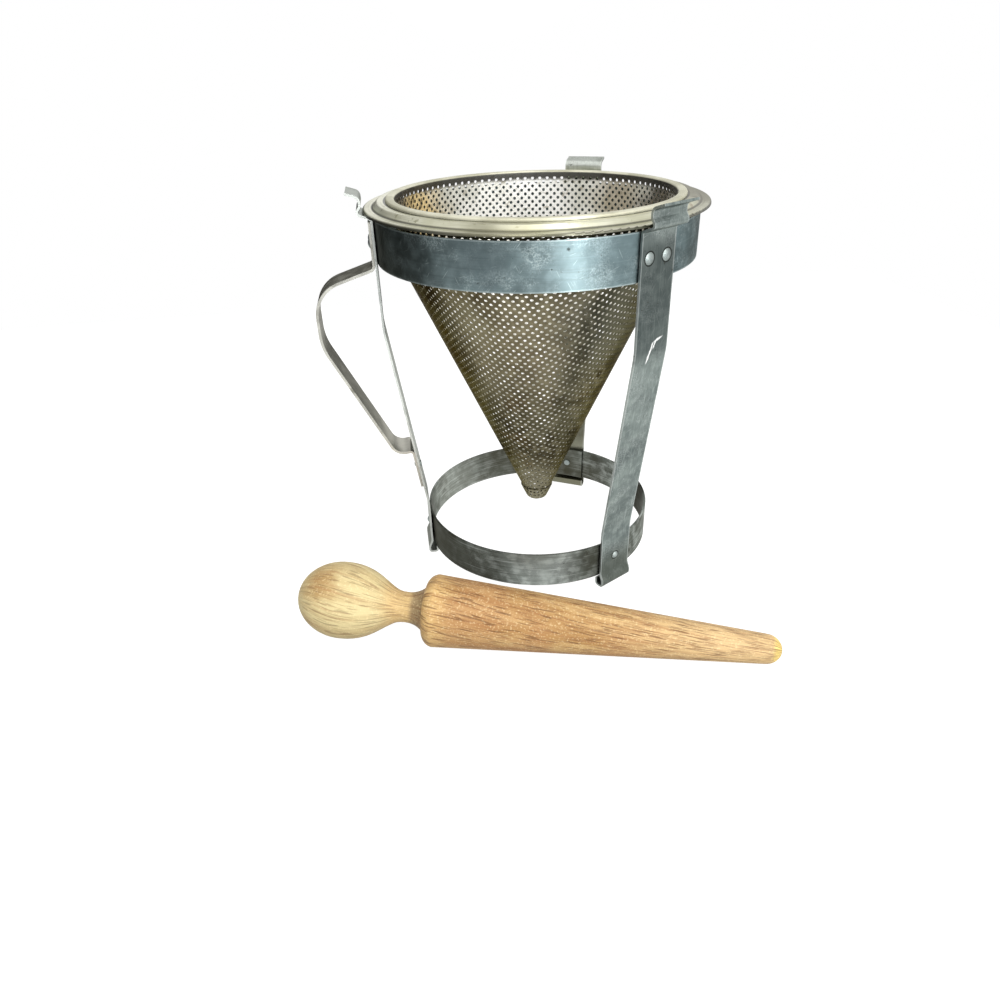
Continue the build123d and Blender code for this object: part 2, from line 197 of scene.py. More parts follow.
# Studio
floor_size = 1.2
floor_glow = 0.93
floor_mirrored = 1.0
dim_level = 0.05

# Bright sides of the room: direction, where the glow starts and is full, and its strength
bright_sides = [
    ((0.40, -0.30, 0.87), -0.65, 0.55, 1.0),
    ((0.13, 0.97, 0.19), 0.955, 0.995, 1.4),
    ((-0.92, -0.33, -0.22), 0.950, 0.99, 0.7),
    ((-0.28, -0.79, 0.55), 0.62, 0.95, 1.2),
]

# Lamps: name, place, target, power in watts, size in metres and tint
lamps = [
    ("key_lamp", (0.50, -0.85, 0.90), (0, 0, 0.15), 5.0, (0.5, 0.5), (1.0, 0.99, 0.97)),
    ("strip_lamp", (0.24, -0.88, 0.26), (0, 0, 0.2), 3.5, (0.16, 0.5), (0.97, 0.99, 1.0)),
    ("top_lamp", (0.00, -0.12, 0.80), (0, 0, 0.15), 0.8, (0.35, 0.35), (1.0, 1.0, 0.97)),
    ("bowl_lamp", (-0.26, -0.72, 0.75), (0, 0, 0.2), 1.6, (0.35, 0.35), (1.0, 1.0, 0.98)),
]


def deselect():
    """Leaves edit mode and selects nothing."""
    if bpy.context.object and bpy.context.object.mode == "EDIT":
        bpy.ops.object.mode_set(mode="OBJECT")
    bpy.ops.object.select_all(action="DESELECT")


def apply_place():
    """Moves the active object's place into its mesh."""
    bpy.ops.object.transform_apply(location=True, rotation=True, scale=True)


def select_vertices(test):
    """Selects, in edit mode, the vertices of the active mesh that pass a test."""
    bpy.ops.mesh.select_mode(type="VERT")
    bpy.ops.mesh.select_all(action="DESELECT")
    mesh = bmesh.from_edit_mesh(bpy.context.object.data)
    for vertex in mesh.verts:
        vertex.select_set(bool(test(vertex)))
    mesh.select_flush_mode()
    bmesh.update_edit_mesh(bpy.context.object.data)


def select_edges(test):
    """Selects, in edit mode, the edges of the active mesh that pass a test."""
    bpy.ops.mesh.select_mode(type="EDGE")
    bpy.ops.mesh.select_all(action="DESELECT")
    mesh = bmesh.from_edit_mesh(bpy.context.object.data)
    for edge in mesh.edges:
        edge.select_set(bool(test(edge)))
    bmesh.update_edit_mesh(bpy.context.object.data)


def select_faces(test):
    """Selects, in edit mode, the faces of the active mesh that pass a test."""
    bpy.ops.mesh.select_mode(type="FACE")
    bpy.ops.mesh.select_all(action="DESELECT")
    mesh = bmesh.from_edit_mesh(bpy.context.object.data)
    for face in mesh.faces:
        face.select_set(bool(test(face)))
    bmesh.update_edit_mesh(bpy.context.object.data)


def bisect(point, normal):
    """Cuts away all of the active mesh that lies on the side the normal points to."""
    bpy.ops.mesh.select_all(action="SELECT")
    bpy.ops.mesh.bisect(plane_co=point, plane_no=normal, clear_outer=True)


def punched_sheet(name, half_width, centre, turn):
    """Adds a flat sheet punched with round holes on a square lattice, and leaves it in edit mode."""
    deselect()
    cells = 2 * ceil(half_width / hole_pitch)
    bpy.ops.mesh.primitive_grid_add(
        x_subdivisions=cells,
        y_subdivisions=cells,
        size=cells * hole_pitch,
        rotation=(0, 0, turn),
        location=centre,
    )
    sheet = bpy.context.object
    sheet.name = name
    apply_place()
    bpy.ops.object.mode_set(mode="EDIT")
    bpy.ops.mesh.select_all(action="SELECT")
    bpy.ops.mesh.poke()
    select_vertices(lambda vertex: len(vertex.link_edges) == 8)
    bpy.ops.mesh.bevel(
        offset=hole_radius, offset_type="OFFSET", affect="VERTICES", segments=1, clamp_overlap=False
    )
    select_faces(lambda face: len(face.verts) == 8)
    bpy.ops.mesh.delete(type="FACE")
    return sheet


def bent_path(corners, bends, steps=6):
    """Points of a path of straight runs whose inner corners are rounded to the bend radii."""
    points = [Vector(corners[0])]
    for before, corner, after, bend in zip(corners, corners[1:], corners[2:], bends):
        corner = Vector(corner)
        back = (Vector(before) - corner).normalized()
        ahead = (Vector(after) - corner).normalized()
        half = back.angle(ahead) / 2
        centre = corner + (back + ahead).normalized() * bend / sin(half)
        start = corner + back * bend / tan(half) - centre
        sweep = start.angle_signed(corner + ahead * bend / tan(half) - centre)
        for step in range(steps + 1):
            turned = Matrix.Rotation(-sweep * step / steps, 2) @ start
            points.append(centre + turned)
    points.append(Vector(corners[-1]))
    return points


def along(path, distance):
    """The point that lies this far along a path."""
    for start, end in zip(path, path[1:]):
        length = (end - start).length
        if distance <= length:
            return start + (end - start) * distance / length
        distance -= length
    return path[-1] + (path[-1] - path[-2]).normalized() * distance


def roll_sheet(sheet, path, front_angle, spread, lap_start=None):
    """Rolls a flat sheet about the stand's axis: distance from the origin becomes distance on the path."""
    bpy.ops.object.mode_set(mode="OBJECT")
    for vertex in sheet.data.vertices:
        flat_angle = atan2(vertex.co.x, vertex.co.y) * spread
        place = along(path, hypot(vertex.co.x, vertex.co.y))
        radius = place.x
        if lap_start is not None and flat_angle > lap_start:
            step = min(1, (flat_angle - lap_start) / cone_seam_step)
            radius -= (sheet_thickness + bead_rest) * step * step * (3 - 2 * step)
        angle = front_angle + flat_angle
        vertex.co = (radius * cos(angle), radius * sin(angle), place.y)


def finish_sheet(sheet, thickness, outside, inside):
    """Gives a sheet its thickness, its two sides' finishes and its smooth faces."""
    deselect()
    sheet.select_set(True)
    bpy.context.view_layer.objects.active = sheet
    sheet.data.materials.append(outside)
    sheet.data.materials.append(inside)
    walls = sheet.modifiers.new("thickness", "SOLIDIFY")
    walls.thickness = thickness
    walls.offset = 0
    walls.use_rim = True
    walls.material_offset = 1
    bpy.ops.object.modifier_apply(modifier=walls.name)
    bpy.ops.object.shade_smooth_by_angle(angle=smooth_angle)


def make_cone(outside, inside):
    """The cone, cut from punched sheet as a sector, rolled and lapped at the back."""
    low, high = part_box("strainer_cone")
    top = high[2]
    lip_radius = high[0] - sheet_thickness / 2
    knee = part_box("strainer_collar")[0][2]
    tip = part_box("tip_cap")[0][2]
    slope = (lip_radius - cone_tip_radius) / (knee - tip)
    half_angle = atan2(slope, 1)
    apex = knee - lip_radius / slope
    path = bent_path([(0, apex), (lip_radius, knee), (lip_radius, top)], [cone_bend_radius])
    sheet = punched_sheet("cone_sheet", cone_sheet_half_width, (0, cone_sheet_centre, 0), cone_lattice_turn)
    reach = pi * sin(half_angle)
    start = -reach
    end = reach + cone_seam_lap * sin(half_angle)
    bisect((0, 0, 0), (cos(end), -sin(end), 0))
    bisect((0, 0, 0), (-cos(start), sin(start), 0))
    roll_sheet(sheet, path, cone_front_angle, 1 / sin(half_angle), pi - cone_seam_step)
    bpy.ops.object.mode_set(mode="EDIT")
    bisect((0, 0, top), (0, 0, 1))
    bisect((0, 0, low[2]), (0, 0, -1))
    finish_sheet(sheet, sheet_thickness, outside, inside)
    return sheet


def make_collar(outside, inside):
    """The collar, a punched strip closed on itself whose plain top border is turned out into a bead."""
    low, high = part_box("strainer_collar")
    radius = high[0] - bead_width + sheet_thickness / 2
    circumference = 2 * pi * radius
    column = circumference / collar_columns
    row = column / 2
    stretch = column / sqrt(2) / hole_pitch
    strip_height = collar_rows * row
    sheet = punched_sheet("collar_sheet", circumference * collar_sheet_share, (0, 0, 0), radians(45))
    bpy.ops.mesh.select_all(action="SELECT")
    bpy.ops.transform.resize(value=(stretch, stretch, 1), center_override=(0, 0, 0))
    bisect((circumference / 2 + column / 4, 0, 0), (1, 0, 0))
    bisect((-circumference / 2 + column / 4, 0, 0), (-1, 0, 0))
    bisect((0, row / 2, 0), (0, 1, 0))
    bisect((0, row / 2 - strip_height, 0), (0, -1, 0))
    bpy.ops.object.mode_set(mode="OBJECT")
    bead_top = high[2] - sheet_thickness / 2
    border = bead_top - bead_inner_bend - collar_plain_border
    for vertex in sheet.data.vertices:
        angle = vertex.co.x / radius
        height = border - row / 2 + vertex.co.y
        vertex.co = (radius * cos(angle), radius * sin(angle), height)
    bpy.ops.object.mode_set(mode="EDIT")
    bpy.ops.mesh.select_all(action="SELECT")
    bpy.ops.mesh.remove_doubles(threshold=weld_gap)
    bead_outer = radius + bead_width - sheet_thickness
    bead_foot = high[2] - bead_height + bead_rest
    path = bent_path(
        [(radius, border), (radius, bead_top), (bead_outer, bead_top), (bead_outer, bead_foot)],
        [bead_inner_bend, bead_outer_bend],
    )
    select_edges(lambda edge: edge.is_boundary and all(v.co.z > border - edge_gap for v in edge.verts))
    for start, end in zip(path, path[1:]):
        bpy.ops.mesh.extrude_edges_move(TRANSFORM_OT_translate={"value": (0, 0, end.y - start.y)})
        share = end.x / start.x
        bpy.ops.transform.resize(value=(share, share, 1), center_override=(0, 0, 0))
    foot = border - strip_height
    select_edges(lambda edge: edge.is_boundary and all(v.co.z < foot + edge_gap for v in edge.verts))
    bpy.ops.mesh.extrude_edges_move(TRANSFORM_OT_translate={"value": (0, 0, low[2] - foot)})
    bpy.ops.mesh.select_all(action="SELECT")
    bpy.ops.mesh.normals_make_consistent(inside=False)
    bpy.ops.object.mode_set(mode="OBJECT")
    wall = next(face for face in sheet.data.polygons if foot < face.center.z < border)
    if wall.normal.x * wall.center.x + wall.normal.y * wall.center.y < 0:
        sheet.data.flip_normals()
    finish_sheet(sheet, sheet_thickness, outside, inside)
    return sheet


def make_cap(outside, inside):
    """The cap, a punched disc pressed into a cup."""
    low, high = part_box("tip_cap")
    floor_level = low[2] + cap_sheet_thickness / 2
    wall_top = high[0] - cap_sheet_thickness / 2
    wall_foot = wall_top - (high[2] - floor_level) * cap_wall_slope
    path = bent_path([(0, floor_level), (wall_foot, floor_level), (wall_top, high[2])], [cap_bend_radius])
    sheet = punched_sheet("cap_sheet", cap_sheet_half_width, (0, 0, 0), cap_lattice_turn)
    roll_sheet(sheet, path, 0, 1)
    bpy.ops.object.mode_set(mode="EDIT")
    bisect((0, 0, high[2]), (0, 0, 1))
    finish_sheet(sheet, cap_sheet_thickness, outside, inside)
    return sheet


def add_node(tree, kind, inputs=None, **settings):
    """Adds one shader node. An input given as a socket is linked, and anything else is its value."""
    made = tree.nodes.new("ShaderNode" + kind)
    for name, value in settings.items():
        setattr(made, name, value)
    for name, value in (inputs or {}).items():
        if isinstance(value, bpy.types.NodeSocket):
            tree.links.new(value, made.inputs[name])
        else:
            made.inputs[name].default_value = value
    return made


def colour(code):
    """A screen colour such as 8a8f93 as the linear values that a shader takes."""
    shares = [int(code[i : i + 2], 16) / 255 for i in (0, 2, 4)]
    return [s / 12.92 if s <= 0.04045 else ((s + 0.055) / 1.055) ** 2.4 for s in shares] + [1]


def new_material(name):
    """A new node material with only its output and shader."""
    material = bpy.data.materials.new(name)
    material.use_nodes = True
    return material, material.node_tree, material.node_tree.nodes["Principled BSDF"]


def main_camera():
    """Places the camera as the photograph's was."""
    deselect()
    right = Vector(camera_right).normalized()
    up = Vector(camera_up).normalized()
    back = right.cross(up)
    turn = Matrix((right, up, back)).transposed()
    bpy.ops.object.camera_add(location=camera_place, rotation=turn.to_euler())
    camera = bpy.context.object
    camera.data.sensor_width = sensor_width
    camera.data.lens = camera_focal_share * sensor_width
    camera.data.clip_start = camera_clip_start
    bpy.context.scene.camera = camera


def flat_place(tree, turn=0.0, centre=(0, 0, 0), tilt=0.0):
    """A place on the object in millimetres: x away from the centre, y across, z up."""
    source = add_node(tree, "TexCoord")
    inputs = {
        "Vector": source.outputs["Object"],
        "Location": centre,
        "Rotation": (0, tilt, turn),
        "Scale": (MM, MM, MM),
    }
    return add_node(tree, "Mapping", inputs, vector_type="TEXTURE").outputs["Vector"]


def round_place(tree, radius):
    """A place on a round wall in millimetres: x round the axis, y up, z out from the axis."""
    split = add_node(tree, "SeparateXYZ", {0: flat_place(tree)})
    x, y, z = split.outputs
    angle = calculate(tree, "ARCTAN2", y, x)
    squares = calculate(tree, "ADD", calculate(tree, "MULTIPLY", x, x), calculate(tree, "MULTIPLY", y, y))
    out = calculate(tree, "SQRT", squares)
    joined = add_node(tree, "CombineXYZ", {0: calculate(tree, "MULTIPLY", angle, radius), 1: z, 2: out})
    return joined.outputs[0]


def calculate(tree, operation, first, second=0.0, clamp=False):
    """One sum on two values."""
    return add_node(tree, "Math", {0: first, 1: second}, operation=operation, use_clamp=clamp).outputs[0]


def stretched(tree, place, scales, turn=(0, 0, 0)):
    """A place turned and then stretched, so that a pattern on it runs one way."""
    turned = add_node(tree, "Mapping", {"Vector": place, "Rotation": turn}, vector_type="POINT").outputs[0]
    return add_node(tree, "Mapping", {"Vector": turned, "Scale": scales}, vector_type="POINT").outputs[0]


def noise(tree, place, size, detail=2.0, distortion=0.0):
    """Soft noise whose blotches are about this many millimetres wide."""
    inputs = {"Vector": place, "Scale": 1 / size, "Detail": detail, "Distortion": distortion}
    return add_node(tree, "TexNoise", inputs).outputs["Fac"]


def between(tree, value, low, high):
    """0 below the low value, 1 above the high one, and smooth between them."""
    inputs = {"Value": value, "From Min": low, "From Max": high}
    return add_node(tree, "MapRange", inputs, interpolation_type="SMOOTHSTEP").outputs["Result"]


def lines(tree, value, width):
    """1 on the thin lines where a noise passes its middle value."""
    off = calculate(tree, "ABSOLUTE", calculate(tree, "SUBTRACT", value, 0.5))
    return calculate(tree, "SUBTRACT", 1.0, between(tree, off, 0.0, width))


def mixed(tree, share, first, second):
    """One colour laid over another."""
    made = add_node(tree, "Mix", {"Factor": share}, data_type="RGBA")
    for socket, value in ((6, first), (7, second)):
        if isinstance(value, bpy.types.NodeSocket):
            tree.links.new(value, made.inputs[socket])
        else:
            made.inputs[socket].default_value = colour(value)
    return made.outputs[2]


def spot(tree, centre, size):
    """1 within about this many millimetres of a place, with a ragged edge."""
    place = flat_place(tree, centre=centre)
    ragged = noise(tree, place, size * 0.5, 3)
    away = add_node(tree, "VectorMath", {0: place}, operation="LENGTH").outputs["Value"]
    away = calculate(tree, "ADD", away, calculate(tree, "MULTIPLY", ragged, size * 0.9))
    return calculate(tree, "SUBTRACT", 1.0, between(tree, away, size * 0.7, size * 1.4))


def bump(tree, height, depth):
    """A normal that follows a height, this many millimetres deep."""
    inputs = {"Height": height, "Distance": depth * MM, "Strength": 1.0}
    return add_node(tree, "Bump", inputs).outputs["Normal"]


def strap_metal(name, place_of, grain, lined, shades, roughness, scuffed, edge, marks_and_painted_light=None):
    """Worn strap iron: rolling lines along the strap, grey patches, scuffs, dents and bright edges.

    Widths and relief are in millimetres. The edge gives the axis across the strap, its middle
    and half its width."""
    material, tree, shader = new_material(name)
    dark, middle, light, scuff_shade = shades
    patch_width, mottle_width, pit_width, dent_width = 34, 6, 2.2, 16
    rolled_line_width, rubbed_line_width = 0.8, 1.1
    curl_width, curled_area_width, short_scuff_width = 9, 11, 0.45
    haze_width, hazy_area_width, fleck_width = 0.7, 15, 1.1
    short_scuffs = ((38, 0.45), (-27, 0.35), (74, 0.35))
    relief = 0.35
    place = place_of(tree)
    patches = noise(tree, place, patch_width, 4, 0.6)
    mottle = noise(tree, place, mottle_width, 4)
    rolled = noise(tree, stretched(tree, place, grain), rolled_line_width, 3)
    shade = mixed(tree, between(tree, patches, 0.34, 0.62), dark, middle)
    shade = mixed(tree, calculate(tree, "MULTIPLY", between(tree, mottle, 0.42, 0.68), 0.5), shade, light)
    shade = mixed(tree, calculate(tree, "MULTIPLY", between(tree, rolled, 0.45, 0.72), lined), shade, dark)
    rubbed_line = noise(tree, stretched(tree, place, grain), rubbed_line_width, 3)
    rubbed_line = between(tree, rubbed_line, 0.58, 0.72)
    shade = mixed(tree, calculate(tree, "MULTIPLY", rubbed_line, lined), shade, light)
    curved = lines(tree, noise(tree, place, curl_width, 1, 1.5), 0.005)
    where = between(tree, noise(tree, place, curled_area_width, 2), 0.58, 0.66)
    scuffs = calculate(tree, "MULTIPLY", calculate(tree, "MULTIPLY", curved, where), 0.5)
    for angle, share in short_scuffs:
        slanted = stretched(tree, place, (1, 0.05, 1), (0, 0, radians(angle)))
        short = noise(tree, slanted, short_scuff_width, 0)
        thin = calculate(tree, "MULTIPLY", between(tree, short, 0.77, 0.83), share)
        scuffs = calculate(tree, "MAXIMUM", scuffs, thin)
    fine = noise(tree, place, haze_width, 4)
    rubbed = between(tree, noise(tree, place, hazy_area_width, 4), 0.44, 0.66)
    haze = calculate(tree, "MULTIPLY", between(tree, fine, 0.38, 0.78), rubbed)
    scuffs = calculate(tree, "MAXIMUM", scuffs, calculate(tree, "MULTIPLY", haze, 0.45))
    flecks = between(tree, noise(tree, place, fleck_width, 1), 0.76, 0.82)
    scuffs = calculate(tree, "MAXIMUM", scuffs, calculate(tree, "MULTIPLY", flecks, 0.4))
    scuffs = calculate(tree, "MULTIPLY", scuffs, scuffed)
    shade = mixed(tree, scuffs, shade, scuff_shade)
    if marks_and_painted_light:
        shade = marks_and_painted_light(tree, shade)
    worn = calculate(tree, "MULTIPLY", worn_edge(tree, place, *edge), 0.3)
    shade = mixed(tree, worn, shade, scuff_shade)
    pits = between(tree, noise(tree, place, pit_width, 2), 0.70, 0.76)
    shade = mixed(tree, calculate(tree, "MULTIPLY", pits, 0.6), shade, "3b3a36")
    tree.links.new(shade, shader.inputs["Base Color"])
    shader.inputs["Metallic"].default_value = 1.0
    shader.inputs["Specular Tint"].default_value = colour("c4c4c0")
    rough = calculate(tree, "MULTIPLY", mottle, 0.22)
    rough = calculate(tree, "ADD", rough, calculate(tree, "MULTIPLY", scuffs, 0.15))
    rough = calculate(tree, "ADD", rough, roughness - 0.11)
    tree.links.new(rough, shader.inputs["Roughness"])
    height = calculate(tree, "MULTIPLY", rolled, 0.06)
    height = calculate(tree, "ADD", height, calculate(tree, "MULTIPLY", scuffs, -0.05))
    dents = calculate(tree, "MULTIPLY", noise(tree, place, dent_width, 1), 0.9)
    height = calculate(tree, "ADD", height, dents)
    height = calculate(tree, "ADD", height, calculate(tree, "MULTIPLY", pits, -0.10))
    tree.links.new(bump(tree, height, relief), shader.inputs["Normal"])
    return material


def worn_edge(tree, place, axis, middle, half_width):
    """1 within about half a millimetre of a strap's edges, broken up where the wear is less."""
    value = add_node(tree, "SeparateXYZ", {0: place}).outputs[axis]
    off = calculate(tree, "ABSOLUTE", calculate(tree, "SUBTRACT", value, middle))
    close = between(tree, off, half_width - 0.9, half_width - 0.35)
    return calculate(tree, "MULTIPLY", close, between(tree, noise(tree, place, 9, 2), 0.24, 0.44))


def strap_place(tree, turn):
    """A place on a strap in millimetres: x across the strap, y up and z outwards."""
    split = add_node(tree, "SeparateXYZ", {0: flat_place(tree, turn)})
    out, across, up = split.outputs
    return add_node(tree, "CombineXYZ", {0: across, 1: up, 2: out}).outputs[0]


def stains_and_painted_light(tree, shade, stains):
    """Lays ragged patches over a colour, stains or painted light and shade, each with its place, its size in
    millimetres, tint and share.
    """
    for centre, size, tint, share in stains:
        stain = calculate(tree, "MULTIPLY", spot(tree, centre, size), share)
        shade = mixed(tree, stain, shade, tint)
    return shade


def height_span(node):
    """The middle height of a hoop and half its width, in millimetres."""
    low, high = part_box(node)
    return (high[2] + low[2]) / 2 / MM, (high[2] - low[2]) / 2 / MM


def band_material():
    """Blue-grey worn strap with pale scuffs, one dark pit, and painted dark reflections over its left and
    either side of its highlight.
    """
    return strap_metal(
        "worn_band_steel",
        lambda tree: round_place(tree, band_wall_radius),
        grain=(0.03, 1, 1),
        lined=0.35,
        shades=band_shades,
        roughness=0.36,
        scuffed=1.1,
        edge=(1, *height_span("upper_band")),
        marks_and_painted_light=lambda tree, shade: stains_and_painted_light(tree, shade, band_pit_and_painted_reflections),
    )


def ring_material():
    """Strap with lines rubbed along it, darker at the left, the front right, the back and the right, with
    painted highlights on its front and inside at the left.
    """
    return strap_metal(
        "worn_ring_steel",
        lambda tree: round_place(tree, ring_wall_radius),
        grain=(0.03, 1, 1),
        lined=0.9,
        shades=ring_shades,
        roughness=0.40,
        scuffed=0.35,
        edge=no_worn_edge,
        marks_and_painted_light=lambda tree, shade: stains_and_painted_light(tree, shade, ring_patches_and_painted_highlights),
    )


def rivet_dirt_and_shade(tree, place, centres, radius):
    """1 in the thin ring round each rivet head, of dirt and painted shade."""
    dirt_and_shade = 0.0
    for across, up in centres:
        away = add_node(tree, "VectorMath", {0: place, 1: (across, up, 0)}, operation="SUBTRACT").outputs[0]
        flat = add_node(tree, "VectorMath", {0: away, 1: (1, 1, 0)}, operation="MULTIPLY").outputs[0]
        distance = add_node(tree, "VectorMath", {0: flat}, operation="LENGTH").outputs["Value"]
        off = calculate(tree, "ABSOLUTE", calculate(tree, "SUBTRACT", distance, radius + rivet_dirt_and_shade_gap))
        ring = calculate(tree, "SUBTRACT", 1.0, between(tree, off, 0.15, 0.55))
        dirt_and_shade = calculate(tree, "MAXIMUM", ring, dirt_and_shade)
    return calculate(tree, "MULTIPLY", dirt_and_shade, 0.8)


def leg_material(name, turn):
    """Mid-grey strap worn along its length, darker towards its foot, with painted shade on the upper leg,
    dirt and painted shade round the rivets, and a white scratch on the front leg; the rear and handle legs
    take a lighter copy of the shades, which is painted light.
    """
    band_height = height_span("band_rivets")[0]
    ring_height = height_span("ring_rivets")[0]

    def marks_and_painted_light(tree, shade):
        place = strap_place(tree, turn)
        up = add_node(tree, "SeparateXYZ", {0: place}).outputs[1]
        # Painted shade on the upper leg, above its bend
        above = calculate(tree, "MULTIPLY", between(tree, up, *upper_leg_painted_shade_start), 0.62)
        below = calculate(tree, "SUBTRACT", 1.0, between(tree, up, *upper_leg_painted_shade_end))
        shade = mixed(tree, calculate(tree, "MULTIPLY", above, below), shade, "3f4746")
        low = calculate(tree, "SUBTRACT", 1.0, between(tree, up, *foot_shade_end))
        shade = mixed(tree, calculate(tree, "MULTIPLY", low, 0.62), shade, "44463b")
        if name == "rear_leg":
            shade = stains_and_painted_light(tree, shade, rear_leg_low_patch)
        # Dirt and painted shade round the rivet heads
        pairs = [(-band_rivet_across, band_height), (band_rivet_across, band_height)]
        shade = mixed(tree, rivet_dirt_and_shade(tree, place, pairs, band_rivet_radius), shade, "22231f")
        shade = mixed(tree, rivet_dirt_and_shade(tree, place, [(0, ring_height)], ring_rivet_radius), shade, "22231f")
        if name == "front_leg":
            shade = mixed(tree, scratch(tree, place), shade, "fbfcfb")
        return shade

    return strap_metal(
        "brushed_" + name + "_steel",
        lambda tree: strap_place(tree, turn),
        grain=(1, 0.03, 1),
        lined=0.55,
        # The rear and handle legs take the lighter copy of the shades: painted light
        shades=leg_shades if name == "front_leg" else painted_lighter_leg_shades,
        roughness=0.42,
        scuffed=0.7,
        edge=(0, 0, strap_half_width),
        marks_and_painted_light=marks_and_painted_light,
    )


def scratch(tree, place):
    """The forked white scratch on the front leg."""
    across, up = add_node(tree, "SeparateXYZ", {0: place}).outputs[:2]
    wave = calculate(tree, "MULTIPLY", noise(tree, place, 5, 2), 4.0)
    total = 0.0
    for slope, start, low, high, thick in scratch_strokes:
        slant = calculate(tree, "MULTIPLY", calculate(tree, "SUBTRACT", up, start), slope)
        off = calculate(tree, "SUBTRACT", calculate(tree, "SUBTRACT", across, slant), wave)
        off = calculate(tree, "ABSOLUTE", calculate(tree, "ADD", off, 1.5))
        line = calculate(tree, "SUBTRACT", 1.0, between(tree, off, thick * 0.4, thick))
        top = calculate(tree, "SUBTRACT", 1.0, between(tree, up, high - 1, high))
        line = calculate(tree, "MULTIPLY", line, top)
        line = calculate(tree, "MULTIPLY", line, between(tree, up, low, low + 2))
        total = calculate(tree, "MAXIMUM", line, total)
    return total


def handle_material():
    """Warmer grey strap, worn by the hand, with painted light on its heel and dirt and painted shade round
    its rivets.
    """
    height = height_span("band_rivets")[0]

    def marks_and_painted_light(tree, shade):
        pairs = [(-band_rivet_across, height), (band_rivet_across, height)]
        dirt_and_shade = rivet_dirt_and_shade(tree, strap_place(tree, leg_turns["handle_leg"]), pairs, band_rivet_radius)
        # Painted light on the handle's heel
        shade = stains_and_painted_light(tree, shade, handle_painted_light)
        # Dirt and painted shade round the rivet heads
        return mixed(tree, dirt_and_shade, shade, "22231f")

    return strap_metal(
        "handled_strap_steel",
        lambda tree: strap_place(tree, 0),
        grain=(1, 0.05, 0.05),
        lined=0.6,
        shades=handle_shades,
        roughness=0.38,
        scuffed=0.6,
        edge=(0, 0, handle_half_width),
        marks_and_painted_light=marks_and_painted_light,
    )


def rivet_material():
    """Soft rivet metal, dull and knocked."""
    return strap_metal(
        "dull_rivet_steel",
        flat_place,
        grain=(1, 1, 1),
        lined=0.3,
        shades=rivet_shades,
        roughness=0.50,
        scuffed=0.6,
        edge=no_worn_edge,
    )


def rim_material():
    """Satin tinned rim with a warm tarnish, turned lines, dirt and painted shade in its corners, two small
    brown marks, and darker patches at the right and the front.
    """
    material, tree, shader = new_material("tarnished_rim_steel")
    patch_width, turned_line_width, speck_width, dent_width, relief = 26, 0.7, 3.2, 14, 0.18
    place = round_place(tree, rim_wall_radius)
    out = add_node(tree, "SeparateXYZ", {0: place}).outputs[2]
    patches = noise(tree, place, patch_width, 4)
    turned = noise(tree, stretched(tree, place, (0.02, 1.0, 1.0)), turned_line_width, 2)
    shade = mixed(tree, between(tree, patches, 0.36, 0.64), "cdccb2", "e4e3cf")
    shade = mixed(tree, calculate(tree, "MULTIPLY", between(tree, turned, 0.45, 0.75), 0.5), shade, "9f9f86")
    specks = between(tree, noise(tree, place, speck_width, 3), 0.62, 0.72)
    shade = mixed(tree, calculate(tree, "MULTIPLY", specks, 0.6), shade, "86825f")
    # Dirt and painted shade in the rim's corners
    for radius, width, share in rim_corner_dirt_and_shade:
        off = calculate(tree, "ABSOLUTE", calculate(tree, "SUBTRACT", out, radius))
        line = calculate(tree, "SUBTRACT", 1.0, between(tree, off, width * 0.3, width))
        shade = mixed(tree, calculate(tree, "MULTIPLY", line, share), shade, "2a291f")
    shade = stains_and_painted_light(tree, shade, rim_patches)
    tree.links.new(shade, shader.inputs["Base Color"])
    shader.inputs["Metallic"].default_value = 1.0
    rough = calculate(tree, "ADD", calculate(tree, "MULTIPLY", patches, 0.2), 0.20)
    tree.links.new(rough, shader.inputs["Roughness"])
    dents = noise(tree, place, dent_width, 1)
    height = calculate(tree, "ADD", calculate(tree, "MULTIPLY", turned, 0.08), dents)
    tree.links.new(bump(tree, height, relief), shader.inputs["Normal"])
    return material


def cone_outside_material():
    """Perforated sheet browned by use, with rust tints."""
    material, tree, shader = new_material("browned_perforated_steel")
    patch_width, mottle_width, rust_width, grime_width = 30, 5, 21, 2.4
    roughened_width, relief = 1.2, 0.05
    place = flat_place(tree)
    patches = noise(tree, place, patch_width, 4)
    mottle = noise(tree, place, mottle_width, 4)
    shade = mixed(tree, between(tree, patches, 0.36, 0.62), "454032", "6e6a56")
    shade = mixed(tree, calculate(tree, "MULTIPLY", between(tree, mottle, 0.45, 0.70), 0.5), shade, "989279")
    rust = between(tree, noise(tree, flat_place(tree, 0.7), rust_width, 5), 0.55, 0.72)
    shade = mixed(tree, calculate(tree, "MULTIPLY", rust, 0.3), shade, "66502f")
    grime = between(tree, noise(tree, place, grime_width, 3), 0.56, 0.70)
    shade = mixed(tree, calculate(tree, "MULTIPLY", grime, 0.45), shade, "2c251a")
    shade = stains_and_painted_light(tree, shade, cone_stains)
    tree.links.new(shade, shader.inputs["Base Color"])
    shader.inputs["Metallic"].default_value = 1.0
    shader.inputs["Specular Tint"].default_value = colour("949080")
    rough = calculate(tree, "ADD", calculate(tree, "MULTIPLY", mottle, 0.3), 0.26)
    tree.links.new(rough, shader.inputs["Roughness"])
    tree.links.new(bump(tree, noise(tree, place, roughened_width, 3), relief), shader.inputs["Normal"])
    return material


def round_split(tree):
    """How far out from the axis and how far up a place is, in millimetres."""
    split = add_node(tree, "SeparateXYZ", {0: round_place(tree, 1)})
    return split.outputs[2], split.outputs[1]


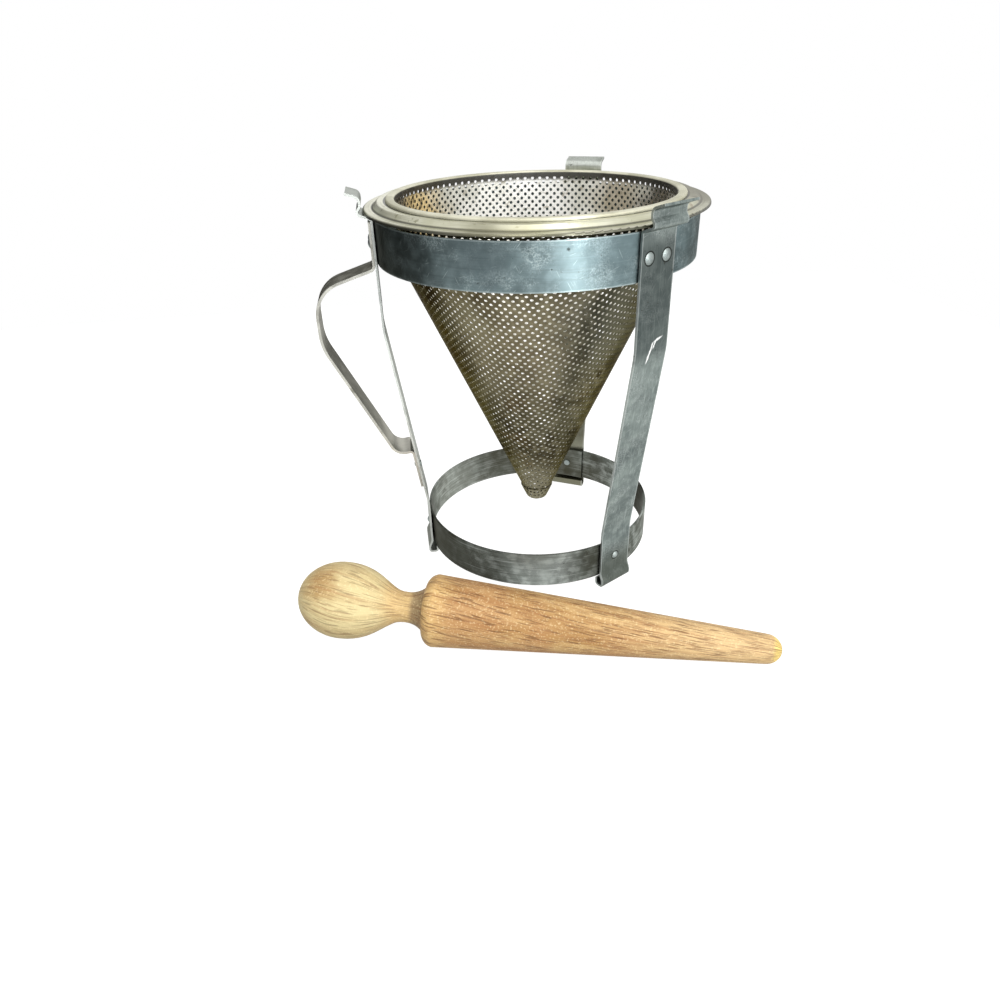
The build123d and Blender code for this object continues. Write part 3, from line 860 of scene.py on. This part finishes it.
def cone_inside_material():
    """Tinned inner side, bright, with a painted highlight at the back, golden-brown and burnt stains at the
    left, painted shade towards the right and a painted shadow under the bead.
    """
    material, tree, shader = new_material("tinned_perforated_steel")
    patch_width, mottle_width, roughened_width, relief = 24, 4, 1.5, 0.04
    place = flat_place(tree)
    patches = noise(tree, place, patch_width, 4)
    mottle = noise(tree, place, mottle_width, 3)
    out, up = round_split(tree)
    shade = mixed(tree, between(tree, patches, 0.32, 0.66), "d3d2c8", "f2f1ec")
    # Stains, a painted highlight at the back and painted shade on the right
    shade = stains_and_painted_light(tree, shade, inner_stains_and_painted_light)
    burnt = calculate(tree, "MULTIPLY", spot(tree, *burnt_patch), between(tree, mottle, 0.48, 0.60))
    shade = mixed(tree, calculate(tree, "MULTIPLY", burnt, 0.75), shade, "53431f")
    grime = between(tree, mottle, 0.58, 0.72)
    shade = mixed(tree, calculate(tree, "MULTIPLY", grime, 0.6), shade, "8b8068")
    rim_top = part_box("strainer_collar")[1][2] / MM
    shadowed = calculate(tree, "ADD", up, calculate(tree, "MULTIPLY", mottle, 2.0))
    shadow_foot, shadow_top = (rim_top - drop for drop in bead_shadow_drops)
    shadowed = between(tree, shadowed, shadow_foot, shadow_top)
    shade = mixed(tree, calculate(tree, "MULTIPLY", shadowed, 0.93), shade, "1d1a12")
    bead = between(tree, out, *bead_start)
    bead_shade = mixed(tree, between(tree, patches, 0.36, 0.62), "b0ae98", "cfcdb9")
    shade = mixed(tree, bead, shade, bead_shade)
    tree.links.new(shade, shader.inputs["Base Color"])
    shader.inputs["Metallic"].default_value = 0.6
    rough = calculate(tree, "ADD", calculate(tree, "MULTIPLY", mottle, 0.25), 0.36)
    tree.links.new(rough, shader.inputs["Roughness"])
    tree.links.new(bump(tree, noise(tree, place, roughened_width, 2), relief), shader.inputs["Normal"])
    return material


def pestle_material():
    """Beech: fine dark pores along the grain, a pale knob, a tan body and a yellow tip.

    The pores are drawn several times as coarse as real ones, so that they show."""
    figure_width, streak_width, pore_width, dash_width, grit_width = 4.5, 1.3, 0.5, 0.7, 1.1
    wander_width, pink_width, relief = 30, 33, 0.12
    material, tree, shader = new_material("worn_beech")
    place = flat_place(tree, pestle_turn, pestle_start, pestle_tilt)
    along_axis = add_node(tree, "SeparateXYZ", {0: place}).outputs[0]
    wander = noise(tree, place, wander_width, 2)
    grain = grain_place(tree, place, along_axis)
    figure = noise(tree, stretched(tree, grain, (0.05, 1, 1)), figure_width, 3)
    streaks = noise(tree, stretched(tree, grain, (0.03, 1, 1)), streak_width, 3)
    pores = noise(tree, stretched(tree, grain, (0.04, 1, 1)), pore_width, 1)
    dashes = noise(tree, stretched(tree, grain, (0.07, 1, 1)), dash_width, 0)
    grit = noise(tree, place, grit_width, 3)
    body = mixed(tree, between(tree, figure, 0.36, 0.64), "a27b4a", "bf9d6a")
    pinkish = between(tree, noise(tree, place, pink_width, 2), 0.42, 0.62)
    body = mixed(tree, calculate(tree, "MULTIPLY", pinkish, 0.35), body, "a8774f")
    knob = mixed(tree, between(tree, figure, 0.36, 0.64), "c0ab7c", "d0c090")
    knob = stains_and_painted_light(tree, knob, knob_stains)
    toe = calculate(tree, "ADD", along_axis, calculate(tree, "MULTIPLY", wander, 8.0))
    shade = mixed(tree, between(tree, toe, *knob_end), knob, "c9ab77")
    shade = mixed(tree, between(tree, toe, *body_start), shade, body)
    neck = calculate(tree, "MULTIPLY", between(tree, along_axis, *neck_shade_start), 0.7)
    before_lip = calculate(tree, "SUBTRACT", 1.0, between(tree, along_axis, *neck_shade_end))
    neck = calculate(tree, "MULTIPLY", neck, before_lip)
    shade = mixed(tree, neck, shade, "7b6b53")
    lip = calculate(tree, "SUBTRACT", 1.0, between(tree, toe, *lip_end))
    lip = calculate(tree, "MULTIPLY", lip, between(tree, along_axis, *lip_start))
    shade = mixed(tree, calculate(tree, "MULTIPLY", lip, 0.6), shade, "d2b075")
    pale_toe = calculate(tree, "MULTIPLY", between(tree, toe, *pale_toe_start), 0.9)
    shade = mixed(tree, pale_toe, shade, "ceb081")
    end_grain = calculate(tree, "ADD", along_axis, calculate(tree, "MULTIPLY", grit, 6.0))
    shade = mixed(tree, between(tree, end_grain, *end_grain_start), shade, "e0c574")
    pole = between(tree, along_axis, *pole_end)
    streak_share = calculate(tree, "MULTIPLY", between(tree, streaks, 0.50, 0.70), 0.40)
    shade = mixed(tree, calculate(tree, "MULTIPLY", streak_share, pole), shade, "9a6b43")
    shade = mixed(tree, calculate(tree, "MULTIPLY", between(tree, grit, 0.52, 0.70), 0.40), shade, "ead5a6")
    share = calculate(tree, "MULTIPLY", between(tree, toe, *pore_growth), 0.22)
    share = calculate(tree, "ADD", share, 0.38)
    share = calculate(tree, "MULTIPLY", share, pole)
    pore_share = calculate(tree, "MULTIPLY", between(tree, pores, 0.54, 0.68), share)
    shade = mixed(tree, pore_share, shade, "7f5534")
    dash_share = calculate(tree, "MULTIPLY", between(tree, dashes, 0.62, 0.72), share)
    shade = mixed(tree, dash_share, shade, "5f3d22")
    tree.links.new(shade, shader.inputs["Base Color"])
    rough = calculate(tree, "ADD", calculate(tree, "MULTIPLY", streaks, 0.2), 0.50)
    tree.links.new(rough, shader.inputs["Roughness"])
    shader.inputs["Specular IOR Level"].default_value = 0.3
    height = calculate(tree, "MULTIPLY", between(tree, pores, 0.54, 0.70), -0.7)
    height = calculate(tree, "SUBTRACT", height, between(tree, dashes, 0.62, 0.72))
    height = calculate(tree, "ADD", height, calculate(tree, "MULTIPLY", grit, 0.5))
    tree.links.new(bump(tree, height, relief), shader.inputs["Normal"])
    return material


def grain_place(tree, place, along_axis):
    """A place on the pestle as if it were one thin cylinder, so that the grain follows its swellings."""
    across = add_node(tree, "VectorMath", {0: place, 1: (0, 1, 1)}, operation="MULTIPLY").outputs[0]
    unit = add_node(tree, "VectorMath", {0: across}, operation="NORMALIZE").outputs[0]
    reach = (grain_radius, grain_radius, grain_radius)
    onto = add_node(tree, "VectorMath", {0: unit, 1: reach}, operation="MULTIPLY").outputs[0]
    length = add_node(tree, "VectorMath", {0: place, 1: (1, 0, 0)}, operation="MULTIPLY").outputs[0]
    grain = add_node(tree, "VectorMath", {0: onto, 1: length}, operation="ADD").outputs[0]
    angle = calculate(tree, "MULTIPLY", along_axis, -tan(grain_lean) / grain_radius)
    twisted = add_node(tree, "VectorRotate", {"Vector": grain, "Angle": angle}, rotation_type="X_AXIS")
    drift = noise_shift(tree, place, 26, 1.5)
    return add_node(tree, "VectorMath", {0: twisted.outputs[0], 1: drift}, operation="ADD").outputs[0]


def noise_shift(tree, place, size, reach):
    """A small shift that wanders from place to place, this many millimetres at most."""
    inputs = {"Vector": place, "Scale": 1 / size, "Detail": 1.0}
    shift = add_node(tree, "TexNoise", inputs).outputs["Color"]
    centred = add_node(tree, "VectorMath", {0: shift, 1: (0.5, 0.5, 0.5)}, operation="SUBTRACT").outputs[0]
    widened = add_node(tree, "VectorMath", {0: centred, 1: (reach, reach, reach)}, operation="MULTIPLY")
    return widened.outputs[0]


def dress(node, material):
    """Gives a CAD node its finish."""
    piece = nodes[node]
    if not piece.material_slots:
        piece.data.materials.append(material)
    for place in piece.material_slots:
        place.material = material


def studio():
    """A floor that looks white, a dim white room with a few bright sides, and the soft lamps."""
    deselect()
    bpy.ops.mesh.primitive_plane_add(size=floor_size)
    floor = bpy.context.object
    floor.name = "floor"
    material, tree, shader = new_material("white_floor_paper")
    shader.inputs["Base Color"].default_value = colour("8c8c8a")
    shader.inputs["Roughness"].default_value = 0.9
    shader.inputs["Specular IOR Level"].default_value = 0.1
    light_path = add_node(tree, "LightPath").outputs
    seen = calculate(tree, "MAXIMUM", light_path["Is Camera Ray"], light_path["Is Transmission Ray"])
    mirrored = calculate(tree, "MULTIPLY", light_path["Is Glossy Ray"], floor_mirrored)
    seen = calculate(tree, "MAXIMUM", seen, mirrored)
    shader.inputs["Emission Color"].default_value = (1, 1, 1, 1)
    tree.links.new(calculate(tree, "MULTIPLY", seen, floor_glow), shader.inputs["Emission Strength"])
    floor.data.materials.append(material)

    world = bpy.data.worlds.new("studio")
    bpy.context.scene.world = world
    world.use_nodes = True
    tree = world.node_tree
    background = tree.nodes["Background"]
    direction = add_node(tree, "TexCoord").outputs["Generated"]
    level = dim_level
    for side, low, high, amount in bright_sides:
        facing = add_node(tree, "VectorMath", {0: direction, 1: side}, operation="DOT_PRODUCT")
        glow = between(tree, facing.outputs["Value"], low, high)
        glow = calculate(tree, "MULTIPLY", glow, amount)
        level = calculate(tree, "MAXIMUM", glow, level)
    light_path = add_node(tree, "LightPath").outputs
    seen = calculate(tree, "MAXIMUM", light_path["Is Camera Ray"], light_path["Is Transmission Ray"])
    tree.links.new(calculate(tree, "MAXIMUM", level, seen), background.inputs["Strength"])
    background.inputs["Color"].default_value = (1, 1, 1, 1)

    for name, place, target, power, size, tint in lamps:
        deselect()
        bpy.ops.object.light_add(type="AREA", location=place)
        lamp = bpy.context.object
        lamp.name = name
        lamp.data.energy = power
        lamp.data.shape = "RECTANGLE"
        lamp.data.size, lamp.data.size_y = size
        lamp.data.color = tint
        aim = Vector(target) - Vector(place)
        lamp.rotation_euler = aim.to_track_quat("-Z", "Y").to_euler()
    bpy.context.scene.view_settings.view_transform = "Standard"


main_camera()
studio()
outside = cone_outside_material()
inside = cone_inside_material()
for make, node, finish in (
    (make_cone, "strainer_cone", inside),
    (make_collar, "strainer_collar", inside),
    (make_cap, "tip_cap", outside),
):
    piece = make(outside, finish)
    piece.name = node + "_perforated"
    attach(piece, "strainer")
    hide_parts(node)

dress("upper_band", band_material())
dress("lower_ring", ring_material())
for name, turn in leg_turns.items():
    dress(name, leg_material(name, turn))
dress("handle", handle_material())
rivets = rivet_material()
for name in ("band_rivets", "ring_rivets", "handle_rivet"):
    dress(name, rivets)
dress("strainer_rim", rim_material())
dress("pestle", pestle_material())
